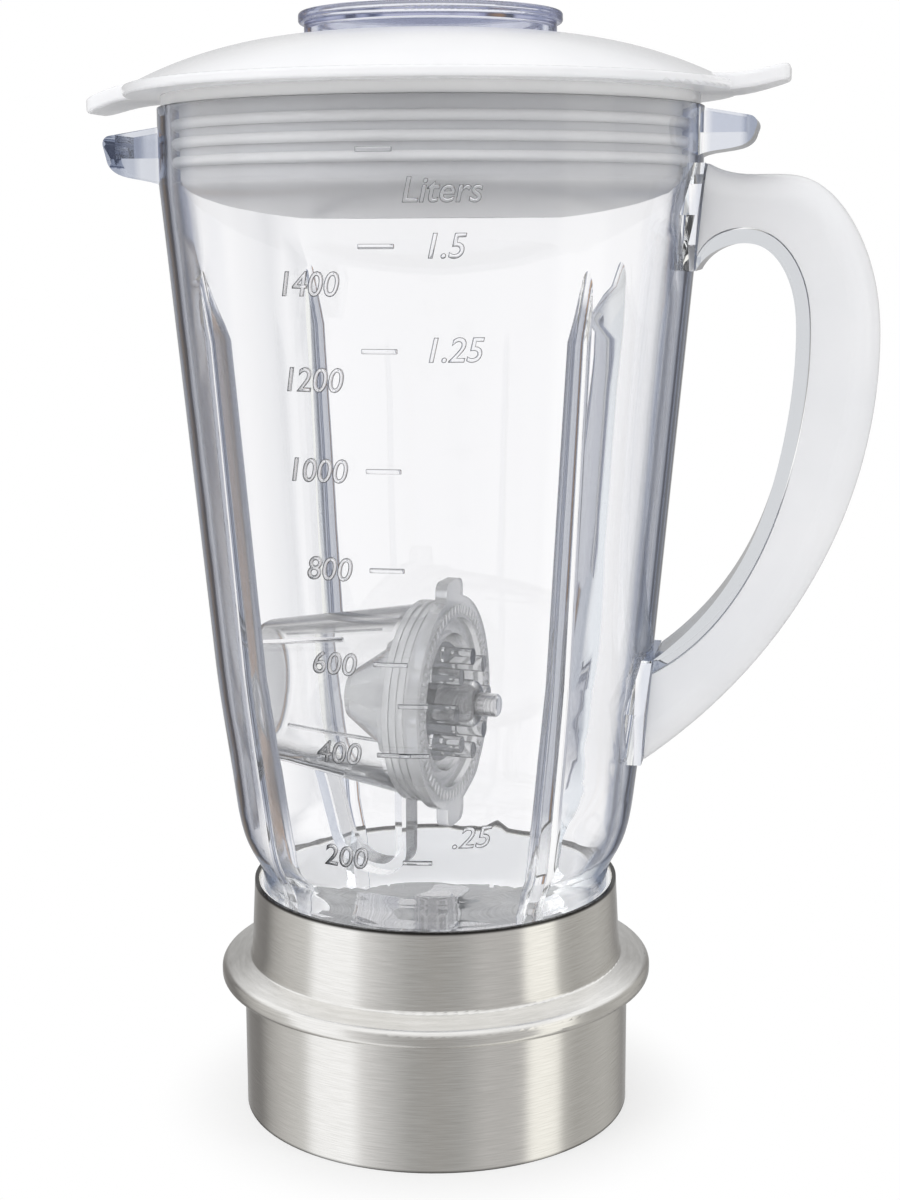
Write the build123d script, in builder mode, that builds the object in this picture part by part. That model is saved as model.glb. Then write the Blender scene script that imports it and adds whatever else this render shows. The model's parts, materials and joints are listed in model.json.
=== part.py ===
from build123d import *
import os
from math import cos, radians, sin, sqrt

os.makedirs("parts", exist_ok=True)

# Blender jar with lid, blade unit and a small cup that lies inside it.
# The origin is on the jar's axis in the plane that the collar stands on. The handle points along +X.

# Fits
slip_gap = 0.3  # between curved faces that lie beside each other
running_gap = 0.05  # radial play of a turning shaft

# Base collar, spun from sheet
collar_radius = 50.0
collar_wall = 1.0
skirt_height = 33.4
socket_depth = 24.35  # how far the motor's base goes in
socket_step = 0.5
bead_reach = 5.8  # how far the bead stands out from the skirt
bead_under = 0.6
bead_edge = 4.2
bead_over = 1.8
bead_round = 1.8
neck_foot_radius = 48.0
neck_foot_round = 0.8
neck_height = 20.0
collar_rim_radius = 46.9

# Insert inside the collar
insert_wall = 2.5
insert_ledge = 3.0
insert_flange = 1.5  # lies in the bead
ledge_bore = 38.0
lug_count = 4
lug_width = 14.0
lug_depth = 4.0
lug_height = 6.0

# Floor of the jar
plate_level = 38.0
plate_thickness = 1.2
plate_rim_radius = 45.0
floor_radius = 40.2
floor_rise = 5.0
gasket_thickness = 2.0
gasket_sleeve = 0.7
gasket_below_rim = 0.8

# Jar
jar_wall = 3.0
neck_wall = 3.4
shoulder_radius = 48.2
shoulder_level = 70.0
belly_radius = 51.6
belly_level = 86.0
cone_foot_radius = 55.6
cone_foot_level = 118.0
cone_top_radius = 66.3
cone_top_level = 236.0
jar_top = 253.7

# Ribs inside the jar
rib_count = 4
rib_depth = 4.6
rib_foot_half_width = 3.6
rib_top_half_width = 2.4
rib_draft = 0.7  # how much narrower the rib's nose is than its root, on each side
rib_fade_level = 200.0
rib_top_level = 217.0

# Ears at the rim
spout_ear_reach = 15.5
handle_ear_reach = 13.7
ear_half_width = 9.0
ear_wall = 2.2
ear_droop = 2.6
ear_round = 2.0
spout_ear_drop = 3.4
spout_ear_height = 15.6
handle_ear_drop = 0.6
handle_ear_height = 12.0

# Handle
pad_height = 1.0
pad_margin = 1.0
pad_tip_half_width = 13.0
upper_pad_half_width = 20.0
lower_pad_half_width = 20.0
upper_pad_level = 228.0
lower_pad_level = 109.0
handle_top = 240.0
upper_root_low = 215.0
lower_root_top = 121.0
handle_bottom = 94.5
handle_stand = 42.7  # how far the handle stands out from the rim
grip_depth = 19.5
grip_level = 200.0
grip_length = 23.4  # from the grip's middle down to where the handle sweeps in
grip_bow = 2.0
crown_drop = 17.5
crown_bow = 5.0
bulge_level = 194.0
back_fall = 31.0
saddle_drop = 2.4
finger_rise = 5.8
finger_fall = 2.5
finger_sweep = 23.0
back_sweep = 33.0
handle_width = 25.0
handle_round = 7.0
handle_wall = 3.2
strip_thickness = 3.2
strip_inset = 1.2

# Lid
lid_lift_gap = 2.8  # height of the plug's shoulder over the jar's rim
flange_overhang = 8.2  # how far the flange stands out from the jar
flange_thickness = 2.4
flange_round = 0.9
flange_step = 1.7  # from the flange's edge in to the dome
dome_rise = 11.2
dome_bulge = 1.9
dome_seat_radius = 35.0
lid_wall = 2.4
tube_wall = 2.0
tube_depth = 36.5
tab_reach = 12.0
tab_root_half_width = 17.0
tab_tip_half_width = 8.0
tab_thickness = 3.8
tab_round = 0.9
tab_corner = 5.0
spout_tab_fall = 3.2
handle_tab_rise = 2.7

# Plug under the lid
ring_reach = 2.3  # from the plug out to the jar's wall
plug_wall = 2.2
shoulder_reach = 2.0  # how far the shoulder covers the jar's rim
ring_count = 3
ring_pitch = 4.3
ring_height = 2.4
ring_first = 4.4  # from the jar's rim down to the middle of the first ring
plug_depth = 16.7
dish_depth = 10.8

# Centre cap
cap_radius = 32.0
cap_height = 6.3
cap_band = 2.7
cap_band_reach = 1.4
cap_neck_radius = 29.0
cap_neck_depth = 14.0
cap_wall = 1.8
cap_dish_radius = 27.0
cap_dish_depth = 1.4
cap_round = 0.8

# Bearing of the blades
housing_flange_radius = 15.0
housing_flange = 1.2
housing_radius = 9.0
housing_length = 11.5
housing_nut_flats = 26.0
housing_nut_height = 4.5
bush_radius = 6.4
bush_length = 4.2
bush_inset = 0.6
seal_height = 1.0

# Drive
shaft_radius = 4.0
stud_radius = 3.0
blade_gap = 0.7  # between the housing and the lower blade
blade_thickness = 1.5
washer_radius = 6.0
washer_thickness = 0.6
nut_radius = 5.2
nut_height = 4.4
nut_dome = 1.6
coupler_gap = 0.7
coupler_height = 7.2
coupler_hub_radius = 8.0
coupler_disc_radius = 18.0
coupler_disc = 3.0
coupler_teeth = 6
coupler_tooth_width = 5.0
coupler_nut_height = 2.2
coupler_nut_flats = 11.0

# Blades
blade_half_width = 5.5
blade_flat_reach = 23.0
blade_bend_reach = 11.0
blade_tip_reach = 22.0
blade_tip_rise = 4.0
blade_bend_round = 3.0
blade_tip_round = 4.0
blade_bevel = 0.8  # of the ground edges

# Small cup lying in the jar, measured along its own axis from the closed end
cup_level = 108.0
cup_turn = -9.0
cup_wall_gap = 0.95
cup_end_radius = 17.5
cup_end_round = 4.0
cup_mouth_radius = 24.4
cup_wall = 2.0
cup_neck_radius = 22.6
cup_neck_start = 44.0
cup_neck_length = 6.0
cup_ring_radius = 25.4
cup_ring_length = 7.0
cup_groove_count = 3
cup_groove_pitch = 1.9
cup_groove_width = 0.8
cup_groove_depth = 0.7
cup_flange_radius = 27.0
cup_flange = 3.0
cup_ear_reach = 4.2
cup_ear_half_width = 6.0
cup_ear_round = 2.8
cup_floor = 2.4
cup_recess_radius = 21.4
cup_well_radius = 17.4
cup_well_depth = 5.0
cup_cone_radius = 18.0
cup_cone_height = 18.0
cup_cone_nose = 6.0
cup_cone_wall = 2.0
cup_shaft_radius = 3.0
cup_shaft_out = 15.0
cup_wheel_radius = 15.0
cup_wheel = 2.2
cup_wheel_gap = 0.8
cup_post_count = 8
cup_post_radius = 2.1
cup_post_circle = 12.0
cup_post_length = 8.0
cup_hub_radius = 6.0
cup_hub_length = 9.5
cup_hub_round = 2.0
cup_shaft_round = 1.2
cup_loop_width = 8.0
cup_loop_thickness = 3.0
cup_loop_start = 16.0
cup_loop_end = 42.0
cup_loop_drop = 46.0
cup_loop_slant = 8.0
cup_loop_round = 14.0
cup_loop_corner = 7.0

# Levels that follow from the sizes above
bead_low = skirt_height
bead_edge_low = bead_low + bead_under
bead_edge_high = bead_edge_low + bead_edge
neck_foot = bead_edge_high + bead_over
collar_top = neck_foot + neck_height
floor_level = plate_level + floor_rise
gasket_level = plate_level + plate_thickness
jar_bottom = gasket_level + gasket_thickness
sleeve_radius = collar_rim_radius - collar_wall - slip_gap
neck_radius = sleeve_radius - gasket_sleeve - slip_gap
cone_slope = (cone_top_radius - cone_foot_radius) / (cone_top_level - cone_foot_level)
handle_reach = cone_top_radius + handle_stand
mouth_radius = cone_top_radius - jar_wall
plug_radius = mouth_radius - ring_reach
flange_radius = cone_top_radius + flange_overhang
dome_foot_radius = flange_radius - flange_step
pocket_radius = plug_radius - slip_gap
flange_level = jar_top + lid_lift_gap
flange_top = flange_level + flange_thickness
dome_top = flange_top + dome_rise


def cone_radius(level):
    """Outside radius of the jar's cone, carried on past both its ends."""
    return cone_foot_radius + (level - cone_foot_level) * cone_slope


def wall_line(neck_inset, inset):
    """One side of the jar's wall, from the bottom to the rim."""
    foot = (neck_radius - neck_inset, jar_bottom)
    bend = (neck_radius - neck_inset, collar_top)
    shoulder = (shoulder_radius - inset, shoulder_level)
    belly = (belly_radius - inset, belly_level)
    cone_foot = (cone_foot_radius - inset, cone_foot_level)
    cone_top = (cone_top_radius - inset, cone_top_level)
    rim = (cone_top_radius - inset, jar_top)
    Line(foot, bend)
    Spline(bend, shoulder, belly, cone_foot, tangents=[(0, 1), (cone_slope, 1)])
    Line(cone_foot, cone_top)
    Line(cone_top, rim)
    return foot, rim


# Base collar
socket_radius = collar_radius - collar_wall
with BuildPart() as base_collar:
    with BuildSketch(Plane.XZ):
        with BuildLine():
            FilletPolyline(
                (collar_radius, socket_depth),
                (collar_radius, bead_low),
                (collar_radius + bead_reach, bead_edge_low),
                (collar_radius + bead_reach, bead_edge_high),
                (neck_foot_radius, neck_foot),
                (collar_rim_radius, collar_top),
                radius=[neck_foot_round, bead_round, bead_round, neck_foot_round],
            )
            offset(amount=collar_wall, side=Side.LEFT)
        make_face()
        with BuildLine():
            Polyline(
                (collar_radius, 0),
                (collar_radius, bead_low - bead_round),
                (socket_radius - socket_step, bead_low - bead_round),
                (socket_radius - socket_step, socket_depth + socket_step),
                (socket_radius, socket_depth),
                (socket_radius, 0),
                close=True,
            )
        make_face()
    revolve(axis=Axis.Z)
base_collar.part.label = "base_collar"
export_step(base_collar.part, "parts/base_collar.step")

# Insert with locking lugs
insert_radius = socket_radius - socket_step - slip_gap
insert_bottom = socket_depth + 2 * socket_step
insert_rim = socket_radius + bead_reach - 2 * slip_gap
insert_rim_level = (bead_edge_low + bead_edge_high - insert_flange) / 2
with BuildPart() as base_insert:
    with BuildSketch(Plane.XZ):
        with BuildLine():
            Polyline(
                (insert_radius, insert_bottom),
                (insert_radius, insert_rim_level),
                (insert_rim, insert_rim_level),
                (insert_rim, insert_rim_level + insert_flange),
                (insert_radius, insert_rim_level + insert_flange),
                (insert_radius, plate_level),
                (ledge_bore, plate_level),
                (ledge_bore, plate_level - insert_ledge),
                (insert_radius - insert_wall, plate_level - insert_ledge),
                (insert_radius - insert_wall, insert_bottom),
                close=True,
            )
        make_face()
    revolve(axis=Axis.Z)
    with BuildSketch(Plane.XY.offset(insert_bottom)):
        with PolarLocations(insert_radius - insert_wall - lug_depth / 2, lug_count, start_angle=45):
            Rectangle(lug_depth + insert_wall, lug_width)
    extrude(amount=lug_height)
base_insert.part.label = "base_insert"
export_step(base_insert.part, "parts/base_insert.step")

# Floor plate
housing_hole = housing_radius + running_gap
with BuildPart() as base_plate:
    with BuildSketch(Plane.XZ):
        with BuildLine():
            FilletPolyline(
                (housing_hole, floor_level),
                (floor_radius, floor_level),
                (floor_radius, gasket_level),
                (plate_rim_radius, gasket_level),
                radius=plate_thickness,
            )
            offset(amount=plate_thickness, side=Side.RIGHT)
        make_face()
    revolve(axis=Axis.Z)
base_plate.part.label = "base_plate"
export_step(base_plate.part, "parts/base_plate.step")

# Gasket that wraps the foot of the jar
gasket_bore = floor_radius + plate_thickness + slip_gap
with BuildPart() as base_gasket:
    with BuildSketch(Plane.XZ):
        with BuildLine():
            Polyline(
                (gasket_bore, gasket_level),
                (sleeve_radius, gasket_level),
                (sleeve_radius, collar_top - gasket_below_rim),
                (sleeve_radius - gasket_sleeve, collar_top - gasket_below_rim),
                (sleeve_radius - gasket_sleeve, jar_bottom),
                (gasket_bore, jar_bottom),
                close=True,
            )
        make_face()
    revolve(axis=Axis.Z)
base_gasket.part.label = "base_gasket"
export_step(base_gasket.part, "parts/base_gasket.step")

# Hollow of the jar, with the four ribs left standing
with BuildPart() as jar_hollow:
    with BuildSketch(Plane.XZ):
        with BuildLine():
            low, high = wall_line(neck_wall, jar_wall)
            Polyline(high, (0, jar_top), (0, jar_bottom), low)
        make_face()
    revolve(axis=Axis.Z)
    rib_levels = [
        (floor_level + slip_gap, neck_radius - neck_wall, rib_depth),
        (collar_top, neck_radius - neck_wall, rib_depth),
        (shoulder_level, shoulder_radius - jar_wall, rib_depth),
        (cone_foot_level, cone_foot_radius - jar_wall, rib_depth),
        (rib_fade_level, cone_radius(rib_fade_level) - jar_wall, rib_depth),
        (rib_top_level, cone_radius(rib_top_level) - jar_wall, -slip_gap),
    ]
    rib_taper = (rib_foot_half_width - rib_top_half_width) / (rib_top_level - floor_level)
    for number in range(rib_count):
        turn = radians(45 + number * 360 / rib_count)
        for level, radius, depth in rib_levels:
            rib_plane = Plane((0, 0, level), x_dir=(cos(turn), sin(turn), 0), z_dir=(0, 0, 1))
            spread = rib_foot_half_width - (level - floor_level) * rib_taper
            nose = spread - rib_draft
            with BuildSketch(rib_plane):
                with BuildLine():
                    nose_arc = CenterArc((radius - depth + nose, 0), nose, 90, 180)
                    Polyline(
                        nose_arc @ 1,
                        (radius + jar_wall, -spread),
                        (radius + jar_wall, spread),
                        nose_arc @ 0,
                    )
                make_face()
        loft(ruled=True, mode=Mode.SUBTRACT)

# Ears, one over the spout side and one over the handle
ear_root = cone_top_radius - jar_wall / 2
with BuildPart() as rim_ears:
    for side, drop, height, ear_reach in (
        (-1, spout_ear_drop, spout_ear_height, spout_ear_reach),
        (1, handle_ear_drop, handle_ear_height, handle_ear_reach),
    ):
        ear_top = jar_top - drop
        tip = side * (cone_top_radius + ear_reach)
        with BuildSketch(Plane.XZ):
            with BuildLine():
                top_line = Line((side * ear_root, ear_top), (tip, ear_top - ear_droop))
                tip_line = Line(top_line @ 1, (tip - side * ear_droop / 2, ear_top - height / 2))
                Spline(
                    tip_line @ 1,
                    (side * ear_root, ear_top - height),
                    tangents=[(-side * ear_droop, -height), (-side, -1)],
                )
                Line((side * ear_root, ear_top - height), top_line @ 0)
            ear_face = make_face()
            fillet(ear_face.vertices().group_by(Axis.X)[0 if side < 0 else -1], ear_round)
        extrude(amount=ear_half_width, both=True)
        with BuildSketch(Plane.XY.offset(ear_top)):
            with Locations((side * (cone_top_radius + ear_reach / 2 - ear_wall), 0)):
                Rectangle(ear_reach - ear_wall, 2 * (ear_half_width - ear_wall))
        extrude(amount=-height / 2, mode=Mode.SUBTRACT)

# Pads that carry the handle, widest between their ends
pad_root = shoulder_radius - jar_wall
pads = []
for high, low, middle, wide in (
    (handle_top, upper_root_low, upper_pad_level, upper_pad_half_width),
    (lower_root_top, handle_bottom, lower_pad_level, lower_pad_half_width),
):
    with BuildPart() as pad:
        with BuildSketch(Plane.XZ):
            with BuildLine():
                Polyline(
                    (pad_root, low - pad_margin),
                    (cone_radius(low - pad_margin) + pad_height, low - pad_margin),
                    (cone_radius(high + pad_margin) + pad_height, high + pad_margin),
                    (pad_root, high + pad_margin),
                    close=True,
                )
            make_face()
        extrude(amount=wide, both=True)
        with BuildSketch(Plane.YZ):
            with BuildLine():
                right = Polyline(
                    (0, high),
                    (pad_tip_half_width, high),
                    (wide, middle),
                    (pad_tip_half_width, low),
                    (0, low),
                )
                mirror(right, about=Plane.YZ)
            make_face()
        extrude(amount=handle_reach, mode=Mode.INTERSECT)
    pads.append(pad.part)

# Jar
with BuildPart() as jar_body:
    with BuildSketch(Plane.XZ):
        with BuildLine():
            low, high = wall_line(0, 0)
            Polyline(high, (0, jar_top), (0, jar_bottom), low)
        make_face()
    revolve(axis=Axis.Z)
    add(rim_ears.part)
    add(pads)
    add(jar_hollow.part, mode=Mode.SUBTRACT)
jar_body.part.label = "jar_body"
export_step(jar_body.part, "parts/jar_body.step")

# Handle outline, seen from the side
pad_seat = pad_height + slip_gap
upper_root = cone_radius(handle_top) + pad_seat
upper_root_inner = cone_radius(upper_root_low) + pad_seat
lower_root_inner = cone_radius(lower_root_top) + pad_seat
lower_root = cone_radius(handle_bottom) + pad_seat
grip = handle_reach - grip_depth


def shifted(points, step):
    """Points moved along the direction given with each of them."""
    return [(x + step * along, z + step * up) for x, z, along, up in points]


# Each point has the direction from the finger side into the handle
upper_gap = grip - upper_root_inner
lower_gap = grip - lower_root_inner
finger_points = [
    (upper_root_inner, upper_root_low, cone_slope, 1),
    (upper_root_inner + 0.3 * upper_gap, upper_root_low + finger_rise, -0.35, 0.94),
    (upper_root_inner + 0.63 * upper_gap, upper_root_low + finger_rise, 0.4, 0.92),
    (upper_root_inner + 0.92 * upper_gap, upper_root_low - finger_fall, 0.9, 0.43),
    (grip, grip_level, 1, 0),
    (grip - grip_bow, grip_level - grip_length, 0.98, -0.17),
    (lower_root_inner + 0.61 * lower_gap, lower_root_top + finger_sweep, 0.83, -0.55),
    (lower_root_inner + 0.18 * lower_gap, lower_root_top + 0.22 * finger_sweep, 0.65, -0.76),
    (lower_root_inner, lower_root_top, -cone_slope, -1),
]
# Each point has the direction from the outside into the handle
upper_run = handle_reach - upper_root
lower_run = handle_reach - lower_root
back_points = [
    (upper_root, handle_top, -cone_slope, -1),
    (upper_root + 0.19 * upper_run, handle_top - saddle_drop, 0, -1),
    (upper_root + 0.55 * upper_run, handle_top - 1.4 * saddle_drop, -0.25, -0.97),
    (handle_reach - crown_bow, handle_top - crown_drop, -0.9, -0.43),
    (handle_reach, bulge_level, -1, 0),
    (handle_reach - crown_bow, bulge_level - back_fall, -0.96, 0.27),
    (lower_root + 0.59 * lower_run, handle_bottom + back_sweep, -0.77, 0.63),
    (lower_root + 0.27 * lower_run, handle_bottom + 0.38 * back_sweep, -0.68, 0.73),
    (lower_root, handle_bottom, cone_slope, 1),
]


def handle_outline(back_step, finger_step):
    """Outline of the handle, with each long edge moved into the handle by its step."""
    back = shifted(back_points, back_step)
    finger = shifted(finger_points, finger_step)
    Spline(*back)
    Spline(*finger)
    Line(back[0], finger[0])
    Line(back[-1], finger[-1])


# Clear strip on the finger side
with BuildPart() as handle_inner:
    with BuildSketch(Plane.XZ):
        with BuildLine():
            near = shifted(finger_points, 0)
            far = shifted(finger_points, strip_thickness)
            Spline(*near)
            Spline(*far)
            Line(near[0], far[0])
            Line(near[-1], far[-1])
        make_face()
    extrude(amount=handle_width / 2 - strip_inset, both=True)
handle_inner.part.label = "handle_inner"
export_step(handle_inner.part, "parts/handle_inner.step")

# White cover, open towards the strip and the pads
with BuildPart() as handle_cover:
    with BuildSketch(Plane.XZ):
        with BuildLine():
            handle_outline(0, strip_thickness + slip_gap)
        make_face()
    extrude(amount=handle_width / 2, both=True)
    fillet(handle_cover.edges().filter_by(GeomType.BSPLINE).group_by(Edge.length)[-1], handle_round)
    with BuildSketch(Plane.XZ):
        with BuildLine():
            handle_outline(handle_wall, 0)
        make_face()
    extrude(amount=handle_width / 2 - handle_wall, both=True, mode=Mode.SUBTRACT)
handle_cover.part.label = "handle_cover"
export_step(handle_cover.part, "parts/handle_cover.step")

# Finger tabs of the lid: the one over the spout bends down, the one over the handle bends up
tabs = []
for side, shift in ((-1, -spout_tab_fall), (1, handle_tab_rise)):
    root = side * (flange_radius - tab_reach)
    tip = side * (flange_radius + tab_reach)
    bend = side * (flange_radius - tab_reach / 4)
    tab_top = flange_level + tab_thickness
    with BuildPart() as tab:
        with BuildSketch(Plane.XZ):
            with BuildLine():
                for level in (flange_level, tab_top):
                    Line((root, level), (bend, level))
                    Spline(
                        (bend, level),
                        (tip, level + shift),
                        tangents=[(side, 0), (side * tab_reach, shift)],
                    )
                Line((root, flange_level), (root, tab_top))
                Line((tip, flange_level + shift), (tip, tab_top + shift))
            make_face()
        extrude(amount=tab_root_half_width, both=True)
        with BuildSketch(Plane.XY.offset(flange_level - dome_rise)):
            with BuildLine():
                Polyline(
                    (root, tab_root_half_width),
                    (tip, tab_tip_half_width),
                    (tip, -tab_tip_half_width),
                    (root, -tab_root_half_width),
                    close=True,
                )
            tab_face = make_face()
            fillet(tab_face.vertices().group_by(Axis.X)[0 if side < 0 else -1], tab_corner)
        extrude(amount=2 * dome_rise, mode=Mode.INTERSECT)
        fillet(tab.edges().filter_by(lambda edge: abs(edge.center().X) > flange_radius), tab_round)
    tabs.append(tab.part)

# Lid
tube_bore = cap_neck_radius + slip_gap
tube_radius = tube_bore + tube_wall
dome_fall = dome_rise * (pocket_radius - dome_seat_radius) / (dome_foot_radius - dome_seat_radius)
with BuildPart() as lid:
    with BuildSketch(Plane.XZ):
        with BuildLine():
            rim_line = Polyline(
                (tube_bore, dome_top - tube_depth),
                (tube_bore, dome_top),
                (dome_seat_radius, dome_top),
            )
            SagittaArc(rim_line @ 1, (dome_foot_radius, flange_top), dome_bulge)
            under_line = FilletPolyline(
                (dome_foot_radius, flange_top),
                (flange_radius, flange_top),
                (flange_radius, flange_level),
                (pocket_radius, flange_level),
                (pocket_radius, dome_top - dome_fall - lid_wall),
                radius=[flange_round, flange_round, 0],
            )
            SagittaArc(under_line @ 1, (tube_radius, dome_top - lid_wall), -dome_bulge / 2)
            Polyline(
                (tube_radius, dome_top - lid_wall),
                (tube_radius, dome_top - tube_depth),
                (tube_bore, dome_top - tube_depth),
            )
        make_face()
    revolve(axis=Axis.Z)
    add(tabs)
lid.part.label = "lid"
export_step(lid.part, "parts/lid.step")

# Plug with three rings and a dished bottom
ring_radius = mouth_radius - slip_gap
plug_bottom = jar_top - plug_depth
with BuildPart() as lid_plug:
    with BuildSketch(Plane.XZ):
        with BuildLine():
            plug_top = Polyline(
                (plug_radius - plug_wall, plug_bottom),
                (plug_radius - plug_wall, flange_level),
                (mouth_radius + shoulder_reach, flange_level),
                (mouth_radius + shoulder_reach, jar_top),
                (plug_radius, jar_top),
                (plug_radius, plug_bottom),
            )
            outer_dish = EllipticalCenterArc((0, plug_bottom), plug_radius, dish_depth, 270, arc_size=90)
            Line(outer_dish @ 0, (0, plug_bottom - dish_depth + plug_wall))
            EllipticalCenterArc(
                (0, plug_bottom), plug_radius - plug_wall, dish_depth - plug_wall, 270, arc_size=90
            )
        make_face()
        for number in range(ring_count):
            with Locations((plug_radius, jar_top - ring_first - number * ring_pitch)):
                SlotOverall(2 * (ring_radius - plug_radius), ring_height)
    revolve(axis=Axis.Z)
    with BuildSketch(Plane.XY.offset(plug_bottom - dish_depth)):
        Circle(tube_radius + slip_gap)
    extrude(amount=dish_depth, mode=Mode.SUBTRACT)
lid_plug.part.label = "lid_plug"
export_step(lid_plug.part, "parts/lid_plug.step")

# Centre cap
cap_top = dome_top + cap_height
with BuildPart() as centre_cap:
    with BuildSketch(Plane.XZ):
        with BuildLine():
            FilletPolyline(
                (0, cap_top - cap_dish_depth),
                (cap_dish_radius, cap_top - cap_dish_depth),
                (cap_dish_radius, cap_top),
                (cap_radius, cap_top),
                (cap_radius, cap_top - cap_band),
                (cap_radius - cap_band_reach, cap_top - cap_band),
                (cap_radius - cap_band_reach, dome_top),
                (cap_neck_radius, dome_top),
                (cap_neck_radius, dome_top - cap_neck_depth),
                (cap_neck_radius - cap_wall, dome_top - cap_neck_depth),
                (cap_neck_radius - cap_wall, cap_top - cap_dish_depth - cap_wall),
                (0, cap_top - cap_dish_depth - cap_wall),
                radius=[cap_round / 2, cap_round, cap_round, cap_round, 0, 0, 0, 0, 0, cap_round],
            )
            Line((0, cap_top - cap_dish_depth - cap_wall), (0, cap_top - cap_dish_depth))
        make_face()
    revolve(axis=Axis.Z)
centre_cap.part.label = "centre_cap"
export_step(centre_cap.part, "parts/centre_cap.step")

# Bearing housing
housing_top = floor_level + housing_flange
housing_bottom = housing_top - housing_length
with BuildPart() as bearing_housing:
    with BuildSketch(Plane.XZ):
        with BuildLine():
            Polyline(
                (bush_radius, housing_bottom),
                (bush_radius, housing_top),
                (housing_flange_radius, housing_top),
                (housing_flange_radius, floor_level),
                (housing_radius, floor_level),
                (housing_radius, housing_bottom),
                close=True,
            )
        make_face()
    revolve(axis=Axis.Z)
bearing_housing.part.label = "bearing_housing"
export_step(bearing_housing.part, "parts/bearing_housing.step")

# Nut under the floor
nut_level = floor_level - plate_thickness
with BuildPart() as bearing_nut:
    with BuildSketch(Plane.XY.offset(nut_level)):
        RegularPolygon(housing_nut_flats / 2, 6, major_radius=False)
        Circle(housing_hole, mode=Mode.SUBTRACT)
    extrude(amount=-housing_nut_height)
bearing_nut.part.label = "bearing_nut"
export_step(bearing_nut.part, "parts/bearing_nut.step")

# Bushes and seal in the housing
bush_bore = shaft_radius + running_gap
with BuildPart() as upper_bush:
    with BuildSketch(Plane.XY.offset(housing_top - seal_height)):
        Circle(bush_radius)
        Circle(bush_bore, mode=Mode.SUBTRACT)
    extrude(amount=-bush_length)
upper_bush.part.label = "upper_bush"
export_step(upper_bush.part, "parts/upper_bush.step")

with BuildPart() as lower_bush:
    with BuildSketch(Plane.XY.offset(housing_bottom + bush_inset)):
        Circle(bush_radius)
        Circle(bush_bore, mode=Mode.SUBTRACT)
    extrude(amount=bush_length)
lower_bush.part.label = "lower_bush"
export_step(lower_bush.part, "parts/lower_bush.step")

with BuildPart() as shaft_seal:
    with BuildSketch(Plane.XY.offset(housing_top)):
        Circle(bush_radius)
        Circle(bush_bore, mode=Mode.SUBTRACT)
    extrude(amount=-seal_height)
shaft_seal.part.label = "shaft_seal"
export_step(shaft_seal.part, "parts/shaft_seal.step")

# Shaft with a stud for the blades
lower_blade_level = housing_top + blade_gap
washer_level = lower_blade_level + blade_thickness
upper_blade_level = washer_level + washer_thickness
blade_nut_level = upper_blade_level + blade_thickness
coupler_top = housing_bottom - coupler_gap
coupler_bottom = coupler_top - coupler_height
with BuildPart() as blade_shaft:
    with BuildSketch(Plane.XY.offset(coupler_bottom)):
        Circle(stud_radius)
    extrude(amount=blade_nut_level + nut_height / 2 - coupler_bottom)
    with BuildSketch(Plane.XY.offset(coupler_bottom + coupler_nut_height)):
        Circle(shaft_radius)
    extrude(amount=lower_blade_level - coupler_bottom - coupler_nut_height)
blade_shaft.part.label = "blade_shaft"
export_step(blade_shaft.part, "parts/blade_shaft.step")


def blade(side_plane, level):
    """Blade with one flat wing and one wing turned up, on a plane that holds the jar's axis."""
    with BuildPart() as shape:
        with BuildSketch(side_plane):
            with BuildLine():
                FilletPolyline(
                    (-blade_flat_reach, level),
                    (blade_bend_reach, level),
                    (blade_tip_reach, level + blade_tip_rise),
                    radius=blade_bend_round,
                )
                offset(amount=blade_thickness, side=Side.LEFT)
            make_face()
        extrude(amount=blade_half_width, both=True)
        corners = shape.edges().filter_by(lambda edge: abs(edge.length - blade_thickness) < running_gap)
        fillet(corners, blade_tip_round)
        ground = shape.faces().filter_by(Axis.Z).sort_by(Axis.Z)[-1].edges().filter_by(GeomType.LINE)
        chamfer(ground.group_by(Edge.length)[-1], blade_bevel)
        with BuildSketch(Plane.XY.offset(level)):
            Circle(stud_radius)
        extrude(amount=blade_thickness, mode=Mode.SUBTRACT)
    return shape


# The lower blade turns up on the spout side, the upper one towards -Y
lower_blade = blade(Plane((0, 0, 0), x_dir=(-1, 0, 0), z_dir=(0, 1, 0)), lower_blade_level)
lower_blade.part.label = "lower_blade"
export_step(lower_blade.part, "parts/lower_blade.step")

upper_blade = blade(Plane((0, 0, 0), x_dir=(0, -1, 0), z_dir=(-1, 0, 0)), upper_blade_level)
upper_blade.part.label = "upper_blade"
export_step(upper_blade.part, "parts/upper_blade.step")

with BuildPart() as blade_washer:
    with BuildSketch(Plane.XY.offset(washer_level)):
        Circle(washer_radius)
        Circle(stud_radius, mode=Mode.SUBTRACT)
    extrude(amount=washer_thickness)
blade_washer.part.label = "blade_washer"
export_step(blade_washer.part, "parts/blade_washer.step")

# Domed nut
with BuildPart() as blade_nut:
    with BuildSketch(Plane.XY.offset(blade_nut_level)):
        RegularPolygon(nut_radius, 6, major_radius=False)
    extrude(amount=nut_height / 2)
    with BuildSketch(Plane.XY.offset(blade_nut_level)):
        Circle(nut_radius)
    extrude(amount=nut_height)
    fillet(blade_nut.edges().group_by(Axis.Z)[-1], nut_dome)
    with BuildSketch(Plane.XY.offset(blade_nut_level)):
        Circle(stud_radius)
    extrude(amount=nut_height / 2, mode=Mode.SUBTRACT)
blade_nut.part.label = "blade_nut"
export_step(blade_nut.part, "parts/blade_nut.step")

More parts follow.
